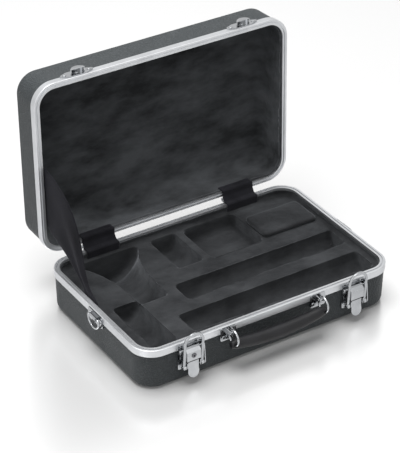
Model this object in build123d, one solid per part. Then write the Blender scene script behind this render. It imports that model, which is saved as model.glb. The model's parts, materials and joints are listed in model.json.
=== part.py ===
from build123d import *
from math import cos, sin, radians, sqrt
import os

# Clarinet case: a moulded base and lid with metal rims, two draw latches, a ring handle and a
# fitted plush tray. Millimetres. The origin is the centre of the underside, +X runs along the
# hinge line, -Y is the latch side and +Z is up. The lid stands open, held by a cloth gusset.

# Case body
case_length = 360.0
case_depth = 229.0
base_height = 56.5
lid_height = 53.0
corner_radius = 28.5
edge_radius = 8.0
wall = 3.0
draft = 1.5
parting_gap = 0.5
lid_open_angle = 92.2

# Metal rim
rim_height = 9.0
rim_skin = 1.2
rim_width = 7.1
rim_web = 1.6
groove_inset = 3.0
groove_width = 1.4
groove_depth = 1.0
bead_width = 0.8
bead_reach = 1.1
rim_round = 0.96

# Plush lining and tray
lining_inset = 8.1
lining_top = 5.0
lining_cove = 12.0
deck_drop = 10.5
well_gap = 1.5
well_wall = 3.0

# Instrument parts that the wells are cut for
bell_length = 107.0
bell_radius = 38.0
bell_throat = 17.5
bell_lip = 7.0
bell_flare = (-1.0, 1.1)
bell_inset = 80.0
joint_drop = 6.0
lower_joint_length = 257.0
lower_joint_radius = 16.5
upper_joint_length = 227.0
upper_joint_radius = 15.0
barrel_length = 66.0
barrel_radius = 16.0
barrel_inset = 158.0
mouthpiece_length = 90.0
mouthpiece_radius = 15.0
mouthpiece_inset = 43.0
tray_clear_back = 6.0
front_margin = 18.0
joint_margin = 26.0

# Pocket and accessory compartment
pocket_length = 76.0
pocket_depth = 72.0
pocket_floor = 26.0
pocket_radius = 8.0
cover_length = 80.0
cover_depth = 48.0
cover_thickness = 5.0
cover_round = 2.0
cover_inset = 60.5
cover_radius = 6.0
cover_lap = 5.0
cover_gap = 0.4
compartment_floor = 12.0

# Plates and rivets
plate = 1.2
plate_bed = 2.8
rivet_shank = 1.3
rivet_head = 2.3
rivet_rise = 0.9
rivet_dome = 0.63
pin_chamfer_share = 0.3
fit = 0.05

# Hinges
hinge_inset = 77.0
hinge_width = 44.0
hinge_offset = 4.8
hinge_rise = 0.8
hinge_leaf = 18.0
hinge_rivet_drop = 10.8
hinge_rivet_spacing = 26.4
knuckle_radius = 2.9
knuckle_count = 5
knuckle_gap = 0.3
hinge_pin_radius = 1.4

# Draw latches
latch_inset = 63.0
latch_width = 33.0
latch_height = 34.5
latch_drop = 2.0
latch_corner = 2.0
latch_slot_length = 7.0
latch_slot_height = 2.0
ear_top_round = 2.8
ear_foot_round = 3.6
ear_foot_reach = 8.6
ear_foot_rise = 5.5
ear_corner = 0.4
lever_pin_drop = 9.0
lever_pin_radius = 1.4
lever_barrel_radius = 2.9
lever_width = 19.0
lever_box_height = 13.5
lever_corner = 0.8
lever_shoulder = 1.5
lever_face_reach = 5.4
lever_tab_length = 37.5
lever_tab_width = 14.4
lever_tab_flare = 0.3
lever_tab_lap = 2.0
lever_tab_curl = 2.6
lever_tab_bow = 0.6
bail_pin_drop = 22.0
bail_pin_reach = 2.8
bail_pin_radius = 1.3
bail_pin_head = 0.6
bail_pin_flange = 0.9
bail_width = 28.0
bail_strap = 3.5
bail_thickness = 2.2
bail_height = 47.0
bail_eye_radius = 3.2
bail_round = 0.5
cheek_eye_radius = 3.0
bail_lean = 3.5
latch_play = 0.4
lock_radius = 3.2
lock_rise = 0.8
lock_round = 0.4
lock_tail = 1.4
lock_below_middle = 0.3
key_radius = 0.9
key_width = 0.9
key_drop = 1.0
key_length = 2.2

# Keepers
keeper_length = 44.0
keeper_height = 12.0
keeper_rise = 8.0
keeper_tip = 2.5
keeper_wall = 1.1
hood_foot = 5.0
hood_reach = 8.3
hood_gap = 0.4
hood_round = 1.0
keeper_rivet_spacing = 33.0

# Handle
handle_spacing = 128.0
bracket_length = 22.0
bracket_height = 18.0
bracket_drop = 1.0
bracket_corner = 2.5
bracket_rivet_spacing = 13.2
lug_gap = 0.8
lug_thickness = 1.5
lug_radius = 3.0
handle_pin_drop = 5.5
handle_pin_reach = 7.5
handle_pin_radius = 1.3
ring_radius = 9.6
ring_wire = 1.4
ring_play = 0.1
ring_out = 5.2
grip_depth = 17.0
grip_height = 16.5
grip_sag = 5.0
grip_end_inset = 4.0
grip_end_size = 13.0
grip_tip = 4.4
grip_tip_size = 8.0
grip_tip_round = 3.0
grip_steps = 3
ring_room = 0.2

# Strap rings on the ends of the case
strap_ring_set_back = -8.0
strap_plate_length = 34.0
strap_plate_height = 15.0
strap_plate_drop = 1.0
strap_plate_corner = 3.0
strap_rivet_spacing = 24.48
strap_axis_drop = 6.5
sleeve_length = 14.0
sleeve_radius = 2.5
strap_ring_width = 24.0
strap_ring_drop = 15.0
strap_ring_wire = 1.25
strap_ring_corner = 3.0
strap_ring_shoulder = 0.35

# Cloth
cloth = 0.8
cloth_gap = 0.4
cover_strip_width = 46.0
cover_strip_tail = 9.0
gusset_reach = 124.0
gusset_tuck = 12.0
gusset_bulge = 11.0
gusset_rise = 3.3
gusset_lift = 1.0

# Places worked out from the sizes above
front = -case_depth / 2
back = case_depth / 2
side = case_length / 2
lid_foot = base_height + parting_gap
lid_top = lid_foot + lid_height
deck_height = base_height - deck_drop
joint_axis = deck_height - joint_drop
pivot_y = back + hinge_offset
pivot_z = base_height + hinge_rise
plate_face = front - plate
hinge_spacing = case_length - 2 * hinge_inset
latch_spacing = case_length - 2 * latch_inset
latch_top = base_height - latch_drop
latch_foot = latch_top - latch_height
lever_pin_height = base_height - lever_pin_drop
lever_box_foot = lever_pin_height - lever_box_height
lever_tab_foot = lever_pin_height - lever_tab_length
lever_pin_y = plate_face - lever_barrel_radius - latch_play
bail_pin_y = lever_pin_y - bail_pin_reach
bail_pin_z = lever_pin_height - bail_pin_drop
lever_face = lever_pin_y - lever_face_reach
lock_z = (lever_box_foot + lever_pin_height) / 2 - lock_below_middle
bail_inner = bail_width / 2 - bail_strap
bail_arc_z = bail_pin_z + bail_height - bail_width / 2
cheek_outer = lever_width / 2
leg_middle = bail_width / 2 - bail_strap / 2
ear_inner = latch_width / 2 - plate
bracket_top = base_height - bracket_drop
handle_pin_height = base_height - handle_pin_drop
handle_pin_y = front - handle_pin_reach
ring_offset = ring_radius - ring_wire - handle_pin_radius - ring_play
ring_y = handle_pin_y - ring_out
ring_z = handle_pin_height - sqrt(ring_offset**2 - ring_out**2)
grip_hole_z = ring_z - ring_radius
strap_plate_top = base_height - strap_plate_drop
strap_axis_height = base_height - strap_axis_drop
barrel_x = -side + barrel_inset
bell_x = -side + bell_inset
mouthpiece_x = -side + mouthpiece_inset
cover_x = side - lining_inset - cover_lap - cover_length / 2
cover_y = back - cover_inset
pocket_x = cover_x - cover_length / 2 - well_wall - pocket_length / 2
lid_pose = Axis((0, pivot_y, pivot_z), (1, 0, 0))


def box(x0, x1, y0, y1, z0, z1):
    """A block between two corners."""
    size = (x1 - x0, y1 - y0, z1 - z0)
    return Pos((x0 + x1) / 2, (y0 + y1) / 2, (z0 + z1) / 2) * Box(*size)


def rod(x0, x1, y, z, radius):
    """A round bar along X."""
    return Pos((x0 + x1) / 2, y, z) * Rot(0, 90, 0) * Cylinder(radius, x1 - x0)


def slab(inset, z0, z1):
    """A straight block with the plan of the case, inset all round."""
    plan = RectangleRounded(case_length - 2 * inset, case_depth - 2 * inset, corner_radius - inset)
    return extrude(Pos(0, 0, z0) * plan, z1 - z0)


def tub(inset, height, rounding):
    """A drafted block with its mouth at the given height and its foot, rounded, at zero."""
    plan = RectangleRounded(case_length - 2 * inset, case_depth - 2 * inset, corner_radius - inset)
    block = extrude(Pos(0, 0, height) * plan, height, dir=(0, 0, -1), taper=draft)
    return fillet(block.faces().sort_by(Axis.Z)[0].edges(), rounding)


def upside_down(shape, top):
    """Turns a shape built from zero up so that its foot is at the top of the lid."""
    return Pos(0, 0, top) * Rot(180, 0, 0) * shape


def opened(shape):
    """Swings a closed lid piece to the open rest pose."""
    return shape.rotate(lid_pose, -lid_open_angle)


def rim_ring(z0, z1):
    """The metal rim's solid band, before it is rounded and grooved."""
    return slab(0, z0, z1) - slab(rim_width, z0 - 1, z1 + 1)


def cavity(height):
    """The room inside a shell, from its floor up to the rim's web."""
    return Pos(0, 0, wall) * tub(rim_skin + wall, height - rim_web - wall, edge_radius - wall)


def make_base_shell():
    return tub(rim_skin, base_height - rim_web, edge_radius) - cavity(base_height)


def make_lid_shell():
    shell = tub(rim_skin, lid_height - rim_web, edge_radius) - cavity(lid_height)
    return upside_down(shell, lid_top)


def make_base_rim(shell):
    rim = rim_ring(base_height - rim_height, base_height)
    outer = rim.faces().sort_by(Axis.Z)[-1].outer_wire().edges()
    rim = fillet(outer, rim_round)
    groove = slab(groove_inset, base_height - groove_depth, base_height + 1)
    groove -= slab(groove_inset + groove_width, base_height - 2 * groove_depth, base_height + 2)
    return rim - groove - shell


def make_lid_rim(shell):
    rim = rim_ring(lid_foot, lid_foot + rim_height)
    outer = rim.faces().sort_by(Axis.Z)[0].outer_wire().edges()
    rim = fillet(outer, rim_round)
    inset = groove_inset + (groove_width - bead_width) / 2
    bead = slab(inset, lid_foot - bead_reach, lid_foot + fit)
    bead -= slab(inset + bead_width, lid_foot - 2 * bead_reach, lid_foot + 1)
    return rim - shell + bead


def plush_block(height):
    """A block filling a shell, stepped in behind the rim's inner leg."""
    block = cavity(height) - slab(rim_skin + wall, height - rim_height, height)
    return block + slab(rim_width, height - rim_height - fit, height - rim_web)


def round_well(x0, x1, y, z, radius):
    """A channel with a round bottom for a joint lying along X."""
    return rod(x0, x1, y, z, radius) + box(x0, x1, y - radius, y + radius, z, base_height)


def cross_well(x, y0, y1, z, radius):
    """A channel with a round bottom for a part lying along Y."""
    bottom = Pos(x, (y0 + y1) / 2, z) * Rot(90, 0, 0) * Cylinder(radius, y1 - y0)
    return bottom + box(x - radius, x + radius, y0, y1, z, base_height)


def bell_well():
    """The flared well of the bell, its rim at the back."""
    y_rim = back - lining_inset - tray_clear_back
    rim = bell_radius + well_gap
    throat = bell_throat + well_gap
    length = bell_length + 2 * well_gap
    with BuildSketch() as half:
        with BuildLine():
            Line((0, 0), (rim, 0))
            Line((rim, 0), (rim, bell_lip))
            flank = [(rim, bell_lip), (throat + bell_lip, length / 3), (throat, length)]
            Spline(*flank, tangents=[bell_flare, (0, 1)])
            Line((throat, length), (0, length))
            Line((0, length), (0, 0))
        make_face()
    flare = revolve(half.sketch, Axis.Y, 360)
    plan = half.sketch + mirror(half.sketch, Plane.YZ)
    mouth = extrude(plan, base_height)
    lying = Pos(bell_x, y_rim, deck_height) * Rot(0, 0, 180)
    return lying * flare + lying * mouth


def compartment(inset, floor):
    """The accessory compartment under its cover."""
    plan = RectangleRounded(cover_length - 2 * inset, cover_depth - 2 * inset, cover_radius)
    return extrude(Pos(cover_x, cover_y, floor) * plan, base_height - floor)


def lyre_pocket():
    plan = RectangleRounded(pocket_length, pocket_depth, pocket_radius)
    middle = back - lining_inset - tray_clear_back - pocket_depth / 2
    return extrude(Pos(pocket_x, middle, pocket_floor) * plan, base_height - pocket_floor)


def make_tray():
    tray = plush_block(base_height)
    tray -= slab(lining_inset, deck_height, base_height + 1)
    front_y = front + lining_inset + front_margin + lower_joint_radius
    middle_y = front_y + lower_joint_radius + upper_joint_radius + joint_margin
    right = side - lining_inset - tray_clear_back
    tray -= round_well(right - lower_joint_length - 2 * well_gap, right, front_y, joint_axis,
                       lower_joint_radius + well_gap)
    tray -= round_well(right - upper_joint_length - 2 * well_gap, right, middle_y, joint_axis,
                       upper_joint_radius + well_gap)
    tray -= bell_well()
    y_back = back - lining_inset - tray_clear_back
    tray -= cross_well(barrel_x, y_back - barrel_length - 2 * well_gap, y_back, joint_axis,
                       barrel_radius + well_gap)
    y_mouth = front + lining_inset + 2 * tray_clear_back
    tray -= cross_well(mouthpiece_x, y_mouth, y_mouth + mouthpiece_length + 2 * well_gap,
                       joint_axis, mouthpiece_radius + well_gap)
    tray -= lyre_pocket()
    tray -= compartment(cover_lap, compartment_floor)
    return tray


def make_accessory_cover():
    plan = RectangleRounded(cover_length, cover_depth, cover_radius)
    pad = extrude(Pos(cover_x, cover_y, deck_height + cover_gap) * plan, cover_thickness)
    return fillet(pad.faces().sort_by(Axis.Z)[-1].edges(), cover_round)


def make_lid_lining():
    floor = wall + lining_top
    hollow = Pos(0, 0, floor) * tub(lining_inset, lid_height - floor, lining_cove)
    return upside_down(plush_block(lid_height) - hollow, lid_top)


def rivet():
    """A domed rivet: its head stands out to -Y from the plate's face and its shank runs inward."""
    outward = (Align.CENTER, Align.CENTER, Align.MIN)
    head = Rot(90, 0, 0) * Cylinder(rivet_head, rivet_rise, align=outward)
    head = fillet(head.edges().sort_by(Axis.Y)[0], rivet_dome)
    return head + Rot(-90, 0, 0) * Cylinder(rivet_shank, plate + rim_skin + wall / 2, align=outward)


def mirrored_pair(spacing):
    return (-spacing / 2, spacing / 2)


def paired_spots(spacing, gap, heights):
    """Rivet places in X and Z: two, a gap apart, at each height on each of two fittings."""
    return [(x + dx, z) for x in mirrored_pair(spacing) for dx in mirrored_pair(gap) for z in heights]


def front_rivets(points):
    """Rivets on the front wall at the given X and Z."""
    return [Pos(x, plate_face, z) * rivet() for x, z in points]


def back_rivets(points):
    """Rivets on the back wall at the given X and Z."""
    return [Pos(x, -plate_face, z) * Rot(0, 0, 180) * rivet() for x, z in points]


def on_end(shape, sign):
    """Puts a fitting drawn against a wall at y = 0 on the left (-1) or right (1) end of the case."""
    return Pos(sign * side, strap_ring_set_back, 0) * Rot(0, 0, sign * 90) * shape


def hull(rounds):
    """The outline wrapped tightly round circles given as (u, v, radius)."""
    edges = [edge for u, v, radius in rounds for edge in (Pos(u, v) * Circle(radius)).edges()]
    return make_hull(edges)


def side_hull(rounds, x0, x1):
    """An upright plate along X whose outline wraps circles given as (y, z, radius)."""
    plan = Plane((0, 0, 0), x_dir=(0, 1, 0), z_dir=(1, 0, 0))
    return Pos(x0, 0, 0) * extrude(plan * hull(rounds), x1 - x0)


def side_profile(line, x0, x1):
    """Extrudes a closed outline drawn in Y and Z along X."""
    plan = Plane((0, 0, 0), x_dir=(0, 1, 0), z_dir=(1, 0, 0))
    return Pos(x0, 0, 0) * extrude(plan * make_face(line), x1 - x0)


def front_plate(x, z0, z1, width, corner):
    """A rounded plate bedded on the front wall, before the wall is cut from its back."""
    plan = Plane.XZ * Pos(x, (z0 + z1) / 2) * RectangleRounded(width, z1 - z0, corner)
    return Pos(0, front + plate_bed, 0) * extrude(plan, plate + plate_bed)


def knuckle_spans(x, owner):
    """The stretches of the hinge line held by the base (0) or the lid (1)."""
    pitch = hinge_width / knuckle_count
    start = x - hinge_width / 2
    for index in range(owner, knuckle_count, 2):
        low = start + index * pitch + (knuckle_gap / 2 if index else 0)
        high = start + (index + 1) * pitch - (knuckle_gap / 2 if index < knuckle_count - 1 else 0)
        yield low, high


def make_hinge_leaf(x, owner, bore):
    """One leaf of a hinge: a plate on the back wall with an arm to each of its knuckles."""
    toward = 1 if owner else -1
    arm = pivot_z + toward * knuckle_radius
    ends = sorted((arm - toward * plate, arm - toward * plate + toward * hinge_leaf))
    leaf = box(x - hinge_width / 2, x + hinge_width / 2, back - plate_bed, back + plate, *ends)
    for low, high in knuckle_spans(x, owner):
        arm_ends = sorted((arm, arm - toward * plate))
        leaf += box(low, high, back, pivot_y, *arm_ends)
        leaf += rod(low, high, pivot_y, pivot_z, knuckle_radius)
    return leaf - rod(x - hinge_width, x + hinge_width, pivot_y, pivot_z, bore)


def make_hinge_pin(x):
    reach = hinge_width / 2 + plate
    pin = rod(x - reach, x + reach, pivot_y, pivot_z, hinge_pin_radius)
    return chamfer(pin.edges(), hinge_pin_radius * pin_chamfer_share)


def hinge_rivets(owner):
    offset = knuckle_radius + hinge_rivet_drop
    z = pivot_z + offset if owner else pivot_z - offset
    return paired_spots(hinge_spacing, hinge_rivet_spacing, [z])


def make_latch_plate(x):
    """The latch's bed: a slotted plate with two ears that carry the lever's pin."""
    bed = front_plate(x, latch_foot, latch_top, latch_width, latch_corner)
    slot = Plane.XZ * Pos(x, latch_top - 2 * latch_slot_height) * SlotOverall(latch_slot_length,
                                                                             latch_slot_height)
    bed -= Pos(0, front, 0) * extrude(slot, 2 * plate)
    root = plate_face + ear_corner + fit
    rounds = [
        (lever_pin_y, lever_pin_height, ear_top_round),
        (plate_face - ear_foot_reach + ear_foot_round, latch_foot + ear_foot_rise, ear_foot_round),
        (root, latch_foot + latch_corner, ear_corner),
        (root, latch_top - latch_corner, ear_corner),
    ]
    ear = side_hull(rounds, 0, plate)
    bed += Pos(x - latch_width / 2, 0, 0) * ear
    bed += Pos(x + latch_width / 2 - plate, 0, 0) * ear
    return bed - rod(x - latch_width, x + latch_width, lever_pin_y, lever_pin_height, lever_pin_radius)


def latch_rivets():
    z_low = latch_foot + 2 * rivet_head
    z_high = lever_pin_height - 3 * rivet_shank
    return paired_spots(latch_spacing, ear_inner + cheek_outer, [z_low, z_high])


def make_lever_pin(x):
    reach = latch_width / 2 + rivet_rise / 2
    pin = rod(x - reach, x + reach, lever_pin_y, lever_pin_height, lever_pin_radius)
    return chamfer(pin.edges(), lever_pin_radius * pin_chamfer_share)


def lever_tab():
    """The thumb tab: a tongue behind the box's lower edge that curls outward to a round end."""
    inner = lever_face + plate
    top = lever_box_foot + lever_tab_lap
    bend = bail_pin_z
    curl = inner - lever_tab_curl
    middle = (bend + lever_tab_foot) / 2
    bow = inner - lever_tab_bow
    outline = [
        Line((inner, top), (inner, bend)),
        ThreePointArc((inner, bend), (bow, middle), (curl, lever_tab_foot)),
        Line((curl, lever_tab_foot), (curl + plate, lever_tab_foot)),
        ThreePointArc((curl + plate, lever_tab_foot), (bow + plate, middle), (inner + plate, bend)),
        Line((inner + plate, bend), (inner + plate, top)),
        Line((inner + plate, top), (inner, top)),
    ]
    sheet = side_profile(outline, -lever_width, lever_width)
    end_radius = lever_tab_width / 2 + lever_tab_flare
    end_z = lever_tab_foot + end_radius
    stem = Pos(0, (top + end_z) / 2) * Rectangle(lever_tab_width, top - end_z)
    end = Pos(0, end_z) * Circle(end_radius)
    outline = extrude(Plane.XZ * (stem + end), -case_depth)
    return sheet & Pos(0, -case_depth, 0) * outline


def make_lever(x, has_lock):
    """A latch lever: barrel on the pin, boxed face, cheeks down to the bail's pin, thumb tab."""
    corner = lever_corner
    face_top = lever_pin_height - lever_shoulder - corner
    rounds = [
        (lever_pin_y, lever_pin_height, lever_barrel_radius),
        (lever_face + corner, face_top, corner),
        (lever_face + corner, lever_box_foot, corner),
        (bail_pin_y, bail_pin_z, cheek_eye_radius),
    ]
    lever = side_hull(rounds, -cheek_outer, cheek_outer)
    inside = cheek_outer - plate
    hollow_top = lever_pin_height - lever_barrel_radius - latch_play
    lever -= box(-inside, inside, lever_face + plate, front, 0, hollow_top)
    lever -= box(-inside, inside, lever_face - 1, front, 0, lever_box_foot)
    lever += lever_tab()
    lever -= rod(-lever_width, lever_width, lever_pin_y, lever_pin_height, lever_pin_radius + fit)
    lever -= rod(-lever_width, lever_width, bail_pin_y, bail_pin_z, bail_pin_radius + fit)
    if has_lock:
        hole = Rot(90, 0, 0) * Cylinder(lock_radius + fit, 4 * plate)
        lever -= Pos(0, lever_face, lock_z) * hole
    return Pos(x, 0, 0) * lever


def make_lock_barrel(x):
    """The keyed barrel in the lever's face, free to turn a quarter turn."""
    depth = lock_rise + plate + lock_tail
    barrel = Rot(90, 0, 0) * Cylinder(lock_radius, depth, align=(Align.CENTER, Align.CENTER, Align.MAX))
    barrel = fillet(barrel.edges().sort_by(Axis.Y)[0], lock_round)
    key = Circle(key_radius) + Pos(0, -key_drop) * Rectangle(key_width, key_length)
    barrel -= extrude(Plane.XZ * key, -depth / 2)
    return Pos(x, lever_face - lock_rise, lock_z) * barrel


def make_bail_pin(x):
    reach = bail_width / 2 + 2 * fit
    pin = rod(x - reach, x + reach, bail_pin_y, bail_pin_z, bail_pin_radius)
    for sign in (-1, 1):
        inner, outer = sorted((x + sign * reach, x + sign * (reach + bail_pin_head)))
        pin += rod(inner, outer, bail_pin_y, bail_pin_z, bail_pin_radius + bail_pin_flange)
    return pin


def make_bail(x):
    """The round-topped hoop: flat legs on the bail's pin and a half ring over the keeper."""
    hoop = Pos(0, bail_arc_z) * Circle(bail_width / 2) - Pos(0, bail_arc_z) * Circle(bail_inner)
    hoop -= Pos(0, bail_arc_z - bail_width / 2) * Rectangle(2 * bail_width, bail_width)
    legs = [Pos(dx, (bail_pin_z + bail_arc_z) / 2) * Rectangle(bail_strap, bail_arc_z - bail_pin_z)
            for dx in (-leg_middle, leg_middle)]
    outline = hoop + legs[0] + legs[1]
    strap = Pos(0, bail_pin_y + bail_thickness / 2, 0) * extrude(Plane.XZ * outline, bail_thickness)
    rims = strap.faces().filter_by(Axis.Y).edges()
    strap = fillet(rims.filter_by(GeomType.CIRCLE), bail_round)
    for dx in (-leg_middle, leg_middle):
        strap += rod(dx - bail_strap / 2, dx + bail_strap / 2, bail_pin_y, bail_pin_z, bail_eye_radius)
    strap -= rod(-bail_width, bail_width, bail_pin_y, bail_pin_z, bail_pin_radius + fit)
    strap = strap.rotate(Axis((0, bail_pin_y, bail_pin_z), (1, 0, 0)), bail_lean)
    return Pos(x, 0, 0) * strap


def make_keeper(x):
    """The lid's half of a latch: a pointed plate with a D-shaped hood that the bail hooks over."""
    middle = lid_foot + keeper_rise
    tip = keeper_length / 2 - keeper_tip
    rounds = [(dx, middle, keeper_tip) for dx in (-tip, tip)]
    rounds += [(dx, middle, keeper_height / 2) for dx in (-bail_inner, bail_inner)]
    ears = Pos(0, front + plate_bed, 0) * extrude(Plane.XZ * hull(rounds), plate + plate_bed)
    foot = lid_foot + hood_foot
    radius = bail_inner - hood_gap
    reach = hood_reach - plate
    hood = Pos(0, plate_face, bail_arc_z) * Rot(90, 0, 0) * Cylinder(
        radius, reach, align=(Align.CENTER, Align.CENTER, Align.MIN))
    hood &= box(-radius, radius, front - hood_reach, front, foot, lid_top)
    hood = fillet(hood.faces().sort_by(Axis.Y)[0].edges().filter_by(GeomType.CIRCLE), hood_round)
    room = Pos(0, plate_face, bail_arc_z) * Rot(90, 0, 0) * Cylinder(
        radius - keeper_wall, reach - keeper_wall, align=(Align.CENTER, Align.CENTER, Align.MIN))
    room &= box(-radius, radius, front - hood_reach, front, foot - 1, lid_top)
    return Pos(x, 0, 0) * (ears + (hood - room))


def keeper_rivets():
    z = lid_foot + keeper_rise
    middle = [(x, z) for x in mirrored_pair(latch_spacing)]
    return paired_spots(latch_spacing, keeper_rivet_spacing, [z]) + middle


def make_handle_bracket(x):
    """A handle bracket: a plate with two lugs that carry the ring's pin."""
    bed = front_plate(x, bracket_top - bracket_height, bracket_top, bracket_length, bracket_corner)
    inner = ring_wire + lug_gap
    rounds = [
        (handle_pin_y, handle_pin_height, lug_radius),
        (plate_face + plate / 2, handle_pin_height - lug_radius, ear_corner),
        (plate_face + plate / 2, handle_pin_height + lug_radius, ear_corner),
    ]
    lug = side_hull(rounds, 0, lug_thickness)
    bed += Pos(x + inner, 0, 0) * lug
    bed += Pos(x - inner - lug_thickness, 0, 0) * lug
    half = bracket_length / 2
    return bed - rod(x - half, x + half, handle_pin_y, handle_pin_height, handle_pin_radius)


def handle_rivets():
    z = bracket_top - bracket_height + 2 * rivet_head
    return paired_spots(handle_spacing, bracket_rivet_spacing, [z])


def make_handle_pin(x):
    reach = ring_wire + lug_gap + lug_thickness + rivet_rise / 2
    pin = rod(x - reach, x + reach, handle_pin_y, handle_pin_height, handle_pin_radius)
    return chamfer(pin.edges(), handle_pin_radius * pin_chamfer_share)


def make_handle_ring(x, wire):
    return Pos(x, ring_y, ring_z) * Rot(0, 90, 0) * Torus(ring_radius, wire)


def grip_section(x, sag, depth, height):
    """One oval slice of the grip, hung below the rings' holes by its sag."""
    plan = Plane((x, ring_y, grip_hole_z - sag), x_dir=(0, 1, 0), z_dir=(1, 0, 0))
    return plan * Ellipse(depth / 2, height / 2)


def make_handle_grip():
    """The padded grip: a bellied bar, oval in section, whose narrow ends hang on the rings."""
    span = handle_spacing / 2 - grip_end_inset
    tip = handle_spacing / 2 + grip_tip
    sections = [grip_section(-tip, 0, grip_tip_size, grip_tip_size)]
    for step in range(-grip_steps, grip_steps + 1):
        belly = 1 - (step / grip_steps) ** 2
        depth = grip_end_size + belly * (grip_depth - grip_end_size)
        height = grip_end_size + belly * (grip_height - grip_end_size)
        sections.append(grip_section(span * step / grip_steps, grip_sag * belly, depth, height))
    sections.append(grip_section(tip, 0, grip_tip_size, grip_tip_size))
    grip = loft(sections)
    ends = grip.faces().filter_by(GeomType.PLANE).edges()
    grip = fillet(ends, grip_tip_round)
    for x in mirrored_pair(handle_spacing):
        grip -= make_handle_ring(x, ring_wire + ring_room)
    return grip


def make_strap_plate(sign):
    """A strap-ring plate: a bed on the end wall with a sleeve for the ring's straight bar."""
    plan = Plane.XZ * Pos(0, strap_plate_top - strap_plate_height / 2) * RectangleRounded(
        strap_plate_length, strap_plate_height, strap_plate_corner)
    bed = Pos(0, plate_bed, 0) * extrude(plan, plate + plate_bed)
    half = sleeve_length / 2
    y = -plate - sleeve_radius
    bed += rod(-half, half, y, strap_axis_height, sleeve_radius)
    bed += box(-half, half, y, -plate / 2, strap_axis_height, strap_axis_height + sleeve_radius)
    bed -= rod(-strap_plate_length, strap_plate_length, y, strap_axis_height, strap_ring_wire + fit)
    return on_end(bed, sign)


def make_strap_ring(sign):
    """A D-ring: a straight bar in the sleeve and a bow hanging below it."""
    half = strap_ring_width / 2
    y = -plate - sleeve_radius
    top = strap_axis_height
    shoulder = top - strap_ring_drop * strap_ring_shoulder
    foot = top - strap_ring_drop
    straight = Line((-half, top), (half, top))
    right = Line((half, top), (half, shoulder))
    bow = ThreePointArc((half, shoulder), (0, foot), (-half, shoulder))
    left = Line((-half, shoulder), (-half, top))
    path = Wire([straight, right, bow, left])
    rounded = path.fillet_2d(strap_ring_corner, path.vertices())
    path = Plane((0, y, 0), x_dir=(1, 0, 0), z_dir=(0, -1, 0)) * rounded
    start = path.edges().filter_by(GeomType.LINE).sort_by(Axis.Z)[-1]
    section = Plane(start @ 0.5, z_dir=start % 0.5) * Circle(strap_ring_wire)
    ring = sweep(section, path=path)
    return on_end(ring, sign)


def strap_rivets():
    """The end rivets of both strap-ring plates."""
    spots = []
    z = strap_plate_top - strap_plate_height / 2
    for sign in (-1, 1):
        for dx in mirrored_pair(strap_rivet_spacing):
            spots.append(on_end(Pos(dx, -plate, z) * rivet(), sign))
    return spots


def swung(y, z):
    """Where a point of the closed lid, given in Y and Z, stands when the lid is open."""
    angle = radians(-lid_open_angle)
    dy = y - pivot_y
    dz = z - pivot_z
    return (pivot_y + dy * cos(angle) - dz * sin(angle), pivot_z + dy * sin(angle) + dz * cos(angle))


def make_hinge_strip(x):
    """A cloth strip over a hinge, from the lid's lining down to the tray."""
    inside = back - lining_inset - cloth_gap - cloth / 2
    over = base_height + cloth_gap + cloth / 2
    under = lid_foot - bead_reach - cloth_gap - cloth / 2
    points = [
        (inside, base_height - cover_strip_tail),
        (inside, over),
        (back - rim_skin, over),
        swung(back - rim_skin, under),
        swung(inside, under),
        swung(inside, lid_foot + cover_strip_tail),
    ]
    half = cloth / 2
    with BuildSketch() as section:
        with BuildLine() as path:
            Polyline(*points)
        trace(path.line, cloth)
    plan = Plane((0, 0, 0), x_dir=(0, 1, 0), z_dir=(1, 0, 0))
    strip = extrude(plan * section.sketch, cover_strip_width)
    return Pos(x - cover_strip_width / 2, 0, 0) * strip


def make_gusset():
    """The cloth gusset inside the left end that stops the lid upright."""
    reach = pivot_y - gusset_reach
    corner = back - corner_radius
    over = base_height + cloth_gap
    under = lid_foot - bead_reach - cloth_gap
    deck = deck_height + gusset_lift
    apex = swung(reach, under)
    foot = (reach, over)
    free_y = (apex[0] + foot[0]) / 2 - gusset_bulge
    free_z = (apex[1] + foot[1]) / 2 + gusset_rise
    tuck = lid_foot + gusset_tuck
    edge = Polyline(
        foot, (reach, deck), (corner, deck), (corner, over), (back - rim_skin, over),
        swung(back - rim_skin, under), swung(corner, under), swung(corner, tuck),
        swung(reach, tuck), apex)
    free = ThreePointArc(apex, (free_y, free_z), foot)
    x = -side + lining_inset + 2 * cloth_gap
    return side_profile([edge, free], x, x + cloth)


def cut_all(shape, tools):
    for tool in tools:
        shape = shape - tool
    return shape


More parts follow.
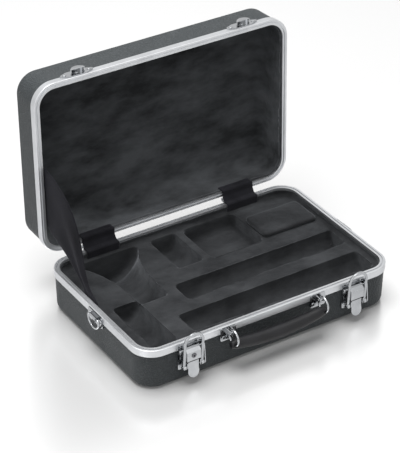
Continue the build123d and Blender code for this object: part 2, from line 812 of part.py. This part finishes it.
def base_fittings(base_shell, base_rim):
    """Everything fixed to the base's walls, with its rivets, and the walls drilled for them."""
    pieces = {}
    groups = {
        "latch_rivets": front_rivets(latch_rivets()),
        "handle_rivets": front_rivets(handle_rivets()),
        "base_hinge_rivets": back_rivets(hinge_rivets(0)),
        "strap_rivets": strap_rivets(),
    }
    for name, x in zip(("left", "right"), mirrored_pair(latch_spacing)):
        pieces[f"latch_plate_{name}"] = cut_all(make_latch_plate(x), [base_shell, base_rim])
        pieces[f"latch_plate_{name}"] = cut_all(pieces[f"latch_plate_{name}"], groups["latch_rivets"])
        pieces[f"lever_pin_{name}"] = make_lever_pin(x)
    for name, x in zip(("left", "right"), mirrored_pair(handle_spacing)):
        bracket = cut_all(make_handle_bracket(x), [base_shell, base_rim])
        pieces[f"handle_bracket_{name}"] = cut_all(bracket, groups["handle_rivets"])
        pieces[f"handle_pin_{name}"] = make_handle_pin(x)
    for name, x in zip(("left", "right"), mirrored_pair(hinge_spacing)):
        leaf = cut_all(make_hinge_leaf(x, 0, hinge_pin_radius), [base_shell, base_rim])
        pieces[f"base_hinge_leaf_{name}"] = cut_all(leaf, groups["base_hinge_rivets"])
        pieces[f"hinge_pin_{name}"] = make_hinge_pin(x)
    for name, sign in zip(("left", "right"), (-1, 1)):
        bed = cut_all(make_strap_plate(sign), [base_shell, base_rim])
        pieces[f"strap_plate_{name}"] = cut_all(bed, groups["strap_rivets"])
    for name, rivets in groups.items():
        base_shell = cut_all(base_shell, rivets)
        base_rim = cut_all(base_rim, rivets)
        pieces[name] = Compound(children=rivets)
    pieces["base_shell"] = base_shell
    pieces["base_rim"] = base_rim
    return pieces


def lid_fittings(lid_shell, lid_rim):
    """Everything fixed to the lid's walls, built closed and then swung open."""
    pieces = {}
    groups = {
        "keeper_rivets": front_rivets(keeper_rivets()),
        "lid_hinge_rivets": back_rivets(hinge_rivets(1)),
    }
    for name, x in zip(("left", "right"), mirrored_pair(latch_spacing)):
        keeper = cut_all(make_keeper(x), [lid_shell, lid_rim])
        pieces[f"keeper_{name}"] = cut_all(keeper, groups["keeper_rivets"])
    for name, x in zip(("left", "right"), mirrored_pair(hinge_spacing)):
        leaf = cut_all(make_hinge_leaf(x, 1, hinge_pin_radius + fit), [lid_shell, lid_rim])
        pieces[f"lid_hinge_leaf_{name}"] = cut_all(leaf, groups["lid_hinge_rivets"])
    for name, rivets in groups.items():
        lid_shell = cut_all(lid_shell, rivets)
        lid_rim = cut_all(lid_rim, rivets)
        pieces[name] = Compound(children=rivets)
    pieces["lid_shell"] = lid_shell
    pieces["lid_rim"] = lid_rim
    pieces["lid_lining"] = make_lid_lining()
    return {name: opened(shape) for name, shape in pieces.items()}


def moving_fittings():
    pieces = {}
    for name, x in zip(("left", "right"), mirrored_pair(latch_spacing)):
        pieces[f"lever_{name}"] = make_lever(x, name == "left")
        pieces[f"bail_pin_{name}"] = make_bail_pin(x)
        pieces[f"bail_{name}"] = make_bail(x)
    pieces["lock_barrel"] = make_lock_barrel(-latch_spacing / 2)
    for name, x in zip(("left", "right"), mirrored_pair(handle_spacing)):
        pieces[f"handle_ring_{name}"] = make_handle_ring(x, ring_wire)
    pieces["handle_grip"] = make_handle_grip()
    for name, sign in zip(("left", "right"), (-1, 1)):
        pieces[f"strap_ring_{name}"] = make_strap_ring(sign)
    return pieces


def soft_parts():
    pieces = {"base_tray": make_tray(), "accessory_cover": make_accessory_cover()}
    pieces["gusset"] = make_gusset()
    for name, x in zip(("left", "right"), mirrored_pair(hinge_spacing)):
        pieces[f"hinge_strip_{name}"] = make_hinge_strip(x)
    return pieces


if __name__ == "__main__":
    os.makedirs("parts", exist_ok=True)
    base_shell = make_base_shell()
    lid_shell = make_lid_shell()
    case = base_fittings(base_shell, make_base_rim(base_shell))
    case |= lid_fittings(lid_shell, make_lid_rim(lid_shell))
    case |= moving_fittings()
    case |= soft_parts()
    for name, shape in case.items():
        export_step(shape, f"parts/{name}.step")
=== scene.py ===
import json
import math

import bpy
from mathutils import Matrix, Vector


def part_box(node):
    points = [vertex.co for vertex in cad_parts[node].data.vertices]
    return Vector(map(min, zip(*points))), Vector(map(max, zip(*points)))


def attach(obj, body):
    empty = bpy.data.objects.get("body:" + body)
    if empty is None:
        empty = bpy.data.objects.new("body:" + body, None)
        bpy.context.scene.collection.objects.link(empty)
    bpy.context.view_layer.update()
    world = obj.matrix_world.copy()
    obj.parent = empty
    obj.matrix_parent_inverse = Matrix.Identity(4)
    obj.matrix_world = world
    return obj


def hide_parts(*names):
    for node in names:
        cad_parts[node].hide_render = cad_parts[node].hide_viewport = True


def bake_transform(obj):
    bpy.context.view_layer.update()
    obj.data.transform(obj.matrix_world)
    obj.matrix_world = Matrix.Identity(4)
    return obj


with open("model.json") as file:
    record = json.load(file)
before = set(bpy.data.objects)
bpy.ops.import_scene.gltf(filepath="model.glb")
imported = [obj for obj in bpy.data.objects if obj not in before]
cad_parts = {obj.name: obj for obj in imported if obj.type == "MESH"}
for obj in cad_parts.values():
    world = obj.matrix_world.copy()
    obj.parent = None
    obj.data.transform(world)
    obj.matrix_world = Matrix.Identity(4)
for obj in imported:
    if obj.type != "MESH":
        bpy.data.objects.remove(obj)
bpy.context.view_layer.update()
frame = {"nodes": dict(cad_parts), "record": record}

nodes = frame["nodes"]
perMetre = 1000  # the cloth's points and thicknesses are given in millimetres


# small helpers

def clearSelection():
    bpy.ops.object.select_all(action="DESELECT")


def pick(obj):
    clearSelection()
    obj.select_set(True)
    bpy.context.view_layer.objects.active = obj


def applyModifier(obj, kind, **settings):
    pick(obj)
    modifier = obj.modifiers.new(kind.title(), kind)
    for key, value in settings.items():
        setattr(modifier, key, value)
    bpy.ops.object.modifier_apply(modifier=modifier.name)


def smoothShade(obj):
    pick(obj)
    bpy.ops.object.shade_smooth()


def dress(obj, material):
    obj.data.materials.clear()
    obj.data.materials.append(material)


def grey(tone):
    return (tone, tone, tone, 1)


# camera: place and reach in metres, angles in degrees, lens and sensor in millimetres

camera = {
    "place": (-1.1592, -1.7444, 1.4570), "azimuth": -32.92, "elevation": 32.76, "roll": 0.46,
    "lens": 164.1, "sensor": 36.0, "reach": 50.0,
}


def makeCamera():
    azimuth, elevation, roll = (math.radians(camera[key]) for key in ("azimuth", "elevation", "roll"))
    forward = Vector((-math.sin(azimuth) * math.cos(elevation),
                      math.cos(azimuth) * math.cos(elevation), -math.sin(elevation)))
    level = forward.cross(Vector((0, 0, 1))).normalized()
    upward = level.cross(forward)
    right = level * math.cos(roll) + upward * math.sin(roll)
    up = upward * math.cos(roll) - level * math.sin(roll)
    turn = Matrix((right, up, -forward)).transposed().to_euler()
    clearSelection()
    bpy.ops.object.camera_add(location=camera["place"], rotation=turn)
    made = bpy.context.object
    made.name = "camera"
    made.data.lens = camera["lens"]
    made.data.sensor_width = camera["sensor"]
    made.data.clip_end = camera["reach"]
    bpy.context.scene.camera = made


makeCamera()
print("camera ready")


# materials: each is built from nodes on object coordinates

class NodeSheet:
    def __init__(self, name):
        self.material = bpy.data.materials.new(name)
        self.material.use_nodes = True
        self.tree = self.material.node_tree
        self.shader = self.tree.nodes["Principled BSDF"]
        self.place = self.tree.nodes.new("ShaderNodeTexCoord").outputs["Object"]

    def node(self, kind, inputs=None, **settings):
        made = self.tree.nodes.new("ShaderNode" + kind)
        for key, value in settings.items():
            setattr(made, key, value)
        for key, value in (inputs or {}).items():
            self.feed(made.inputs[key], value)
        return made

    def feed(self, socket, value):
        if isinstance(value, bpy.types.NodeSocket):
            self.tree.links.new(value, socket)
        else:
            socket.default_value = value

    def stretched(self, scale):
        return self.node("Mapping", {"Vector": self.place, "Scale": scale}).outputs["Vector"]

    def noise(self, scale, detail=3.0, roughness=0.5, where=None):
        made = self.node("TexNoise", {"Vector": where or self.place, "Scale": scale,
                                      "Detail": detail, "Roughness": roughness})
        return made.outputs["Fac"]

    def cells(self, scale, feature="F1"):
        made = self.node("TexVoronoi", {"Vector": self.place, "Scale": scale}, feature=feature)
        return made.outputs["Distance"]

    def threads(self, scale, way):
        made = self.node("TexWave", {"Vector": self.place, "Scale": scale}, bands_direction=way)
        return made.outputs["Fac"]

    def combine(self, operation, *values):
        return self.node("Math", dict(enumerate(values)), operation=operation).outputs["Value"]

    def ramp(self, value, ends, lowColor, highColor):
        made = self.node("ValToRGB", {"Fac": value})
        first, last = made.color_ramp.elements
        first.position, last.position = ends
        first.color = (*lowColor, 1)
        last.color = (*highColor, 1)
        return made.outputs["Color"]

    def spread(self, value, low, high):
        return self.node("MapRange", {"Value": value, "To Min": low, "To Max": high}).outputs["Result"]

    def bump(self, height, strength, distance, under=None):
        made = self.node("Bump", {"Height": height, "Strength": strength, "Distance": distance})
        if under:
            self.feed(made.inputs["Normal"], under)
        return made.outputs["Normal"]

    def finish(self, **sockets):
        for key, value in sockets.items():
            self.feed(self.shader.inputs[key.replace("_", " ")], value)
        return self.material

    def fabric(self, tint, normal, look):
        return self.finish(Base_Color=tint, Normal=normal, Roughness=look["roughness"],
                           Sheen_Weight=look["sheen"], Sheen_Roughness=look["sheenRoughness"],
                           Sheen_Tint=look["sheenTint"], Specular_IOR_Level=look["specular"])


# shells: small moulded pebbles, a little paler between them

shellLook = {
    "color": (0.022, 0.026, 0.028), "pale": (0.057, 0.064, 0.068), "ramp": (0.2, 1.0),
    "pebbles": 560.0, "pebbleBump": 0.9, "pebbleDepth": 0.0008,
    "clouds": 14.0, "drift": 0.35, "wear": 90.0, "roughness": (0.44, 0.58), "specular": 0.22,
}


def shellMaterial():
    sheet = NodeSheet("pebbledShell")
    pebbles = sheet.cells(shellLook["pebbles"])
    drift = sheet.combine("MULTIPLY", sheet.noise(shellLook["clouds"]), shellLook["drift"])
    mottle = sheet.combine("ADD", pebbles, drift)
    tint = sheet.ramp(mottle, shellLook["ramp"], shellLook["color"], shellLook["pale"])
    normal = sheet.bump(pebbles, shellLook["pebbleBump"], shellLook["pebbleDepth"])
    gloss = sheet.spread(sheet.noise(shellLook["wear"]), *shellLook["roughness"])
    return sheet.finish(Base_Color=tint, Roughness=gloss, Normal=normal,
                        Specular_IOR_Level=shellLook["specular"])


# rims: satin metal with faint drawn lines

rimLook = {
    "color": (0.50, 0.51, 0.525), "pale": (0.58, 0.59, 0.605), "ramp": (0.3, 0.7), "smudges": 30.0,
    "lines": 60.0, "lineStretch": (1, 1, 60), "lineBump": 0.06, "lineDepth": 0.0004,
    "roughness": (0.36, 0.50),
}


def rimMaterial():
    sheet = NodeSheet("satinRim")
    smudges = sheet.noise(rimLook["smudges"])
    lines = sheet.noise(rimLook["lines"], where=sheet.stretched(rimLook["lineStretch"]))
    tint = sheet.ramp(smudges, rimLook["ramp"], rimLook["color"], rimLook["pale"])
    gloss = sheet.spread(lines, *rimLook["roughness"])
    normal = sheet.bump(lines, rimLook["lineBump"], rimLook["lineDepth"])
    return sheet.finish(Base_Color=tint, Roughness=gloss, Normal=normal, Metallic=1.0)


# plush: a brushed nap over fine fibre; the lid's copy is painted paler as painted light

plushLook = {
    "ramp": (0.35, 0.68),
    "nap": 26.0, "napDetail": 4.0, "napRoughness": 0.6, "napStretch": (0.6, 1, 1.3),
    "napBump": 0.25, "napDepth": 0.004,
    "fibre": 1400.0, "fibreDetail": 2.0, "fibreBump": 0.5, "fibreDepth": 0.0008,
    "roughness": 0.95, "sheen": 0.35, "sheenRoughness": 0.45, "sheenTint": (0.80, 0.84, 0.90, 1),
    "specular": 0.1,
}
trayColors = {"dark": (0.012, 0.0125, 0.0135), "light": (0.044, 0.046, 0.049)}
# painted light: the lining's colours are the tray's plush painted paler, for the light falling on the
# lid's lining
litLiningColors = {"dark": (0.019, 0.020, 0.021), "light": (0.088, 0.093, 0.099)}


def plushMaterial(name, colors):
    sheet = NodeSheet(name)
    nap = sheet.noise(plushLook["nap"], plushLook["napDetail"], plushLook["napRoughness"],
                      where=sheet.stretched(plushLook["napStretch"]))
    fibre = sheet.noise(plushLook["fibre"], plushLook["fibreDetail"])
    tint = sheet.ramp(nap, plushLook["ramp"], colors["dark"], colors["light"])
    normal = sheet.bump(fibre, plushLook["fibreBump"], plushLook["fibreDepth"])
    normal = sheet.bump(nap, plushLook["napBump"], plushLook["napDepth"], normal)
    return sheet.fabric(tint, normal, plushLook)


# cloth of the stay and the hinge strips: a fine plain weave

clothLook = {
    "dark": (0.007, 0.007, 0.009), "light": (0.016, 0.016, 0.020), "ramp": (0.3, 0.7), "clouds": 40.0,
    "threads": 1500.0, "weaveBump": 0.3, "weaveDepth": 0.0003,
    "roughness": 0.9, "sheen": 0.12, "sheenRoughness": 0.4, "sheenTint": (0.82, 0.82, 0.92, 1),
    "specular": 0.15,
}


def clothMaterial():
    sheet = NodeSheet("stayCloth")
    weave = sheet.combine("MULTIPLY", sheet.threads(clothLook["threads"], "Y"),
                          sheet.threads(clothLook["threads"], "Z"))
    tint = sheet.ramp(sheet.noise(clothLook["clouds"]), clothLook["ramp"], clothLook["dark"],
                      clothLook["light"])
    normal = sheet.bump(weave, clothLook["weaveBump"], clothLook["weaveDepth"])
    return sheet.fabric(tint, normal, clothLook)


# fittings: bright plating, duller on the pins, dark on the lock's barrel, and a painted shadow below each
# lever's box

platedLook = {
    "color": (0.34, 0.35, 0.363), "pale": (0.42, 0.43, 0.443), "ramp": (0.3, 0.7), "clouds": 60.0,
    "wear": 220.0, "wearBump": 0.05, "wearDepth": 0.0003, "roughness": (0.10, 0.23),
}
pinLook = {**platedLook, "roughness": (0.21, 0.34)}
lockLook = {**platedLook, "color": (0.10, 0.10, 0.11), "pale": (0.16, 0.16, 0.17),
            "roughness": (0.25, 0.38)}
leverPaintedShadow = {"height": 0.0327, "half": 0.0012, "left": 0.06}  # painted shadow: a dark band below a lever's box, where its tab comes out, in metres


def platedMaterial(name, look, paintedShadow=None):
    sheet = NodeSheet(name)
    wear = sheet.noise(look["wear"])
    gloss = sheet.spread(wear, *look["roughness"])
    tint = sheet.ramp(sheet.noise(look["clouds"]), look["ramp"], look["color"], look["pale"])
    # painted shadow: the colour is darkened in a band at one height, below the lever's box
    if paintedShadow:
        height = sheet.node("SeparateXYZ", {"Vector": sheet.place}).outputs["Z"]
        inShadow = sheet.combine("COMPARE", height, paintedShadow["height"], paintedShadow["half"])
        shadowScale = sheet.spread(inShadow, 1.0, paintedShadow["left"])
        tint = sheet.node("VectorMath", {0: tint, "Scale": shadowScale}, operation="SCALE").outputs["Vector"]
    normal = sheet.bump(wear, look["wearBump"], look["wearDepth"])
    return sheet.finish(Base_Color=tint, Roughness=gloss, Metallic=1.0, Normal=normal)


# grip: black leather with a fine grain

leatherLook = {
    "dark": (0.004, 0.004, 0.005), "light": (0.010, 0.010, 0.012), "ramp": (0.3, 0.7), "clouds": 50.0,
    "grain": 900.0, "grainBump": 0.35, "grainDepth": 0.0004, "roughness": 0.46, "specular": 0.3,
}


def leatherMaterial():
    sheet = NodeSheet("grainedGrip")
    grain = sheet.cells(leatherLook["grain"], feature="DISTANCE_TO_EDGE")
    tint = sheet.ramp(sheet.noise(leatherLook["clouds"]), leatherLook["ramp"], leatherLook["dark"],
                      leatherLook["light"])
    normal = sheet.bump(grain, leatherLook["grainBump"], leatherLook["grainDepth"])
    return sheet.finish(Base_Color=tint, Roughness=leatherLook["roughness"], Normal=normal,
                        Specular_IOR_Level=leatherLook["specular"])


# every node takes the finish of its slot, and then the lock and the levers take their own

finishOf = {
    "shell": shellMaterial(), "rim": rimMaterial(), "plush": plushMaterial("trayPlush", trayColors),
    "lining": plushMaterial("liningPlushPaintedLight", litLiningColors), "cloth": clothMaterial(),
    "plated": platedMaterial("platedSteel", platedLook), "steel": platedMaterial("pinSteel", pinLook),
    "grip": leatherMaterial(),
}
for part in frame["record"]["subparts"]:
    dress(nodes[part["node"]], finishOf[part["material_slot"]])
dress(nodes["lock_barrel"], platedMaterial("lockSteel", lockLook))
# the levers' finish carries a band of painted shadow below each box
leverShadedMetal = platedMaterial("leverSteelPaintedShadow", platedLook, leverPaintedShadow)
for side in ("left", "right"):
    dress(nodes["lever_" + side], leverShadedMetal)
print("materials ready")


# soft copies: a node's mesh is remeshed and smoothed, and then dented

softening = {"merge": 0.00001, "factor": 0.5, "cloudDepth": 2}


def softCopy(nodeName, name, voxel, turns, swell=0.0):
    source = nodes[nodeName]
    made = bpy.data.objects.new(name, source.data.copy())
    bpy.context.scene.collection.objects.link(made)
    pick(made)
    bpy.ops.object.mode_set(mode="EDIT")
    bpy.ops.mesh.select_all(action="SELECT")
    bpy.ops.mesh.remove_doubles(threshold=softening["merge"])
    bpy.ops.transform.shrink_fatten(value=swell, use_even_offset=True)
    bpy.ops.object.mode_set(mode="OBJECT")
    applyModifier(made, "REMESH", mode="VOXEL", voxel_size=voxel)
    applyModifier(made, "SMOOTH", factor=softening["factor"], iterations=turns)
    return made


def dent(obj, name, size, strength, level):
    texture = bpy.data.textures.new(name, "CLOUDS")
    texture.noise_scale = size
    texture.noise_depth = softening["cloudDepth"]
    applyModifier(obj, "DISPLACE", texture=texture, strength=strength, mid_level=level)


# plush of the tray and the lid's lining
# its thin walls are swollen before the remesh, so that the remesh keeps them, and drawn in after it

plush = {
    "voxel": 0.0018, "turns": 4, "swell": 0.0008, "inward": -0.0011, "dent": 0.0016, "dentSize": 0.034,
    "ripple": 0.0006, "rippleSize": 0.010, "level": 0.75,
}


def makePlush(nodeName, name, body, slot):
    made = softCopy(nodeName, name, plush["voxel"], plush["turns"], plush["swell"])
    applyModifier(made, "DISPLACE", strength=plush["inward"], mid_level=0.0)
    dent(made, name + "Dents", plush["dentSize"], plush["dent"], plush["level"])
    dent(made, name + "Ripples", plush["rippleSize"], plush["ripple"], plush["level"])
    smoothShade(made)
    dress(made, finishOf[slot])
    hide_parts(nodeName)
    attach(made, body)


makePlush("base_tray", "trayPlush", "base", "plush")
makePlush("lid_lining", "liningPlushPaintedLight", "lid", "lining")
print("plush ready")


# accessory pad: the compartment's cover, crowned over its foam

pad = {
    "voxel": 0.0013, "turns": 4, "crown": 0.0024, "dent": 0.0009, "dentSize": 0.016, "level": 0.75,
    "fill": 0.8,
}


def makeAccessoryPad():
    made = softCopy("accessory_cover", "accessoryPad", pad["voxel"], pad["turns"])
    low, high = (Vector(corner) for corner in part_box("accessory_cover"))
    middle = (low + high) / 2
    half = (high - low) / 2
    for vertex in made.data.vertices:
        across = (vertex.co.x - middle.x) / half.x
        along = (vertex.co.y - middle.y) / half.y
        if vertex.co.z > middle.z:
            vertex.co.z += pad["crown"] * max(0.0, 1 - across ** 2) * max(0.0, 1 - along ** 2)
    dent(made, "padDents", pad["dentSize"], pad["dent"], pad["level"])
    smoothShade(made)
    dress(made, finishOf["plush"])
    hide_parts("accessory_cover")
    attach(made, "accessory_cover")


makeAccessoryPad()


# grip: the padded handle, a little uneven

grip = {"voxel": 0.0009, "turns": 3, "dent": 0.0004, "dentSize": 0.012, "level": 0.7, "fill": 0.95}


def makeGrip():
    made = softCopy("handle_grip", "paddedGrip", grip["voxel"], grip["turns"])
    dent(made, "gripDents", grip["dentSize"], grip["dent"], grip["level"])
    smoothShade(made)
    dress(made, finishOf["grip"])
    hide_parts("handle_grip")
    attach(made, "handle")


makeGrip()
print("pads ready")


# cloth: a grid whose points place(across, along) gives, both from 0 to 1

def clothPiece(name, rows, columns, place, thickness):
    mesh = bpy.data.meshes.new(name)
    spots = [place(column / columns, row / rows) / perMetre
             for row in range(rows + 1) for column in range(columns + 1)]
    wide = columns + 1
    corners = [row * wide + column for row in range(rows) for column in range(columns)]
    mesh.from_pydata(spots, [], [(spot, spot + 1, spot + wide + 1, spot + wide) for spot in corners])
    made = bpy.data.objects.new(name, mesh)
    bpy.context.scene.collection.objects.link(made)
    applyModifier(made, "SOLIDIFY", thickness=thickness / perMetre, offset=0.0)
    smoothShade(made)
    dress(made, finishOf["cloth"])
    return made


# a smooth curve through given points, each span bent by its neighbours
def curveAt(points, amount):
    place = min(max(amount, 0.0), 1.0) * (len(points) - 1)
    index = min(int(place), len(points) - 2)
    t = place - index
    before, a, b, after = (Vector(points[min(max(index + step, 0), len(points) - 1)])
                           for step in (-1, 0, 1, 2))
    bend = 2 * a + (b - before) * t + (2 * before - 5 * a + 4 * b - after) * t ** 2
    return (bend + (3 * a - before - 3 * b + after) * t ** 3) / 2


# the stay: a tapered band, slack between the base's left wall and the lid's

stay = {
    "outer": [(-170.9, 3, 48), (-170.8, 5, 57.5), (-169.6, 26, 65), (-168.4, 40, 79), (-168.2, 49, 104),
              (-168.2, 57, 126), (-168.6, 68, 148), (-169.4, 84, 166), (-170.4, 110, 180),
              (-170.9, 133, 183)],
    "inner": [(-170.9, 32, 48), (-170.8, 35, 57.5), (-169.8, 48, 68), (-169.2, 62, 76), (-169.2, 76, 83),
              (-169.6, 87, 88), (-170.0, 98, 91), (-170.4, 110, 95), (-170.8, 121, 101),
              (-170.9, 133, 107)],
    "rows": 72, "columns": 20, "thickness": 0.7, "belly": 3.0, "fold": 0.8, "folds": 1.6, "lean": 0.5,
    "flat": (0.076, 0.196), "area": 0.0073,
}


def stayPoint(across, along):
    spot = curveAt(stay["outer"], along).lerp(curveAt(stay["inner"], along), across)
    slack = math.sin(math.pi * along) ** 2
    spot.x += stay["belly"] * slack * (1 - across) ** 2
    spot.x += stay["fold"] * slack * math.sin(math.tau * (stay["folds"] * across + stay["lean"] * along))
    return spot


def makeStay():
    made = clothPiece("clothStay", stay["rows"], stay["columns"], stayPoint, stay["thickness"])
    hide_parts("gusset")
    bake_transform(made)


makeStay()


# hinge strips: each runs from the tray, over both rims, into the lid

strips = {
    "route": [(105.6, 47.5), (105.6, 57.4), (113.3, 57.4), (117.2, 63.4), (117.6, 71.1), (128.5, 70.7)],
    "turn": 1.5, "sides": {"Left": -103.0, "Right": 103.0}, "width": 46.0, "rows": 60, "columns": 24,
    "thickness": 0.7, "ripple": 0.16, "ripples": 2.5, "lean": 4, "rippleWay": (0, -0.7, 0.7),
    "flat": (0.046, 0.0445),
}


# each corner becomes three points: one on either side of it, and one between them, drawn in
def roundedRoute(points, turn):
    route = [Vector((0, *points[0]))]
    for before, corner, after in zip(points, points[1:], points[2:]):
        corner = Vector((0, *corner))
        into = corner + (Vector((0, *before)) - corner).normalized() * turn
        away = corner + (Vector((0, *after)) - corner).normalized() * turn
        route += [into, (into + away + 2 * corner) / 4, away]
    return route + [Vector((0, *points[-1]))]


def routeAt(route, amount):
    lengths = [(b - a).length for a, b in zip(route, route[1:])]
    left = amount * sum(lengths)
    for a, b, length in zip(route, route[1:], lengths):
        if left <= length:
            return a.lerp(b, left / length)
        left -= length
    return route[-1].copy()


def makeStrip(side, middle):
    route = roundedRoute(strips["route"], strips["turn"])

    def stripPoint(across, along):
        spot = routeAt(route, along)
        spot.x = middle + strips["width"] * (across - 0.5)
        wave = strips["ripple"] * math.sin(math.tau * strips["ripples"] * across + strips["lean"] * along)
        return spot + Vector(strips["rippleWay"]) * wave * math.sin(math.pi * along)

    made = clothPiece("hingeStrip" + side, strips["rows"], strips["columns"], stripPoint,
                      strips["thickness"])
    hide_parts("hinge_strip_" + side.lower())
    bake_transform(made)


for side, middle in strips["sides"].items():
    makeStrip(side, middle)
print("cloth ready")


# floor, light and background

floorLook = {
    "size": 16.0, "drop": 0.0002, "tone": 0.30, "roughness": 0.9, "specular": 0.2,
    "shownTone": 0.84, "shownRoughness": 0.26, "shownIor": 5.0, "white": 0.04,
}
worldLook = {"tone": 1.0, "strength": 0.33, "shownStrength": 1.0}
lampAim = (0, 0, 0.1)
lamps = [
    {"name": "topLight", "place": (-0.3, 0.1, 2.2), "size": 1.6, "power": 55.0},
    {"name": "leftLight", "place": (-2.0, -0.9, 1.2), "size": 1.4, "power": 9.5},
    {"name": "frontLight", "place": (0.9, -2.3, 1.1), "size": 1.4, "power": 3.5},
]


# camera, glossy and transmitted rays see the shader shown, and all other rays see plain
def forViewers(tree, plain, shown):
    path = tree.nodes.new("ShaderNodeLightPath")
    seen = path.outputs["Is Camera Ray"]
    for other in ("Is Glossy Ray", "Is Transmission Ray"):
        more = tree.nodes.new("ShaderNodeMath")
        more.operation = "MAXIMUM"
        tree.links.new(seen, more.inputs[0])
        tree.links.new(path.outputs[other], more.inputs[1])
        seen = more.outputs["Value"]
    mix = tree.nodes.new("ShaderNodeMixShader")
    tree.links.new(seen, mix.inputs["Fac"])
    tree.links.new(plain, mix.inputs[1])
    tree.links.new(shown, mix.inputs[2])
    return mix.outputs["Shader"]


def makeFloor():
    clearSelection()
    bpy.ops.mesh.primitive_plane_add(size=floorLook["size"], location=(0, 0, -floorLook["drop"]))
    floor = bpy.context.object
    floor.name = "floor"
    sheet = NodeSheet("paleFloor")
    sheet.finish(Base_Color=grey(floorLook["tone"]), Roughness=floorLook["roughness"],
                 Specular_IOR_Level=floorLook["specular"])
    seen = sheet.node("BsdfPrincipled", {"Base Color": grey(floorLook["shownTone"]),
                                         "Roughness": floorLook["shownRoughness"],
                                         "IOR": floorLook["shownIor"]})
    white = sheet.node("Emission", {"Color": grey(1), "Strength": 1.0})
    shown = sheet.node("MixShader", {0: floorLook["white"], 1: seen.outputs["BSDF"],
                                     2: white.outputs["Emission"]})
    mixed = forViewers(sheet.tree, sheet.shader.outputs["BSDF"], shown.outputs["Shader"])
    sheet.tree.links.new(mixed, sheet.tree.nodes["Material Output"].inputs["Surface"])
    dress(floor, sheet.material)


def makeWorld():
    world = bpy.data.worlds.new("studioWorld")
    bpy.context.scene.world = world
    world.use_nodes = True
    tree = world.node_tree
    plain = tree.nodes["Background"]
    shown = tree.nodes.new("ShaderNodeBackground")
    for back, strength in ((plain, worldLook["strength"]), (shown, worldLook["shownStrength"])):
        back.inputs["Color"].default_value = grey(worldLook["tone"])
        back.inputs["Strength"].default_value = strength
    mixed = forViewers(tree, plain.outputs["Background"], shown.outputs["Background"])
    tree.links.new(mixed, tree.nodes["World Output"].inputs["Surface"])


def makeLamps():
    for lamp in lamps:
        clearSelection()
        direction = Vector(lampAim) - Vector(lamp["place"])
        bpy.ops.object.light_add(type="AREA", location=lamp["place"],
                                 rotation=direction.to_track_quat("-Z", "Y").to_euler())
        made = bpy.context.object
        made.name = lamp["name"]
        made.data.shape = "DISK"
        made.data.size = lamp["size"]
        made.data.energy = lamp["power"]


makeFloor()
makeWorld()
makeLamps()
bpy.context.scene.view_settings.view_transform = "Standard"
print("studio ready")
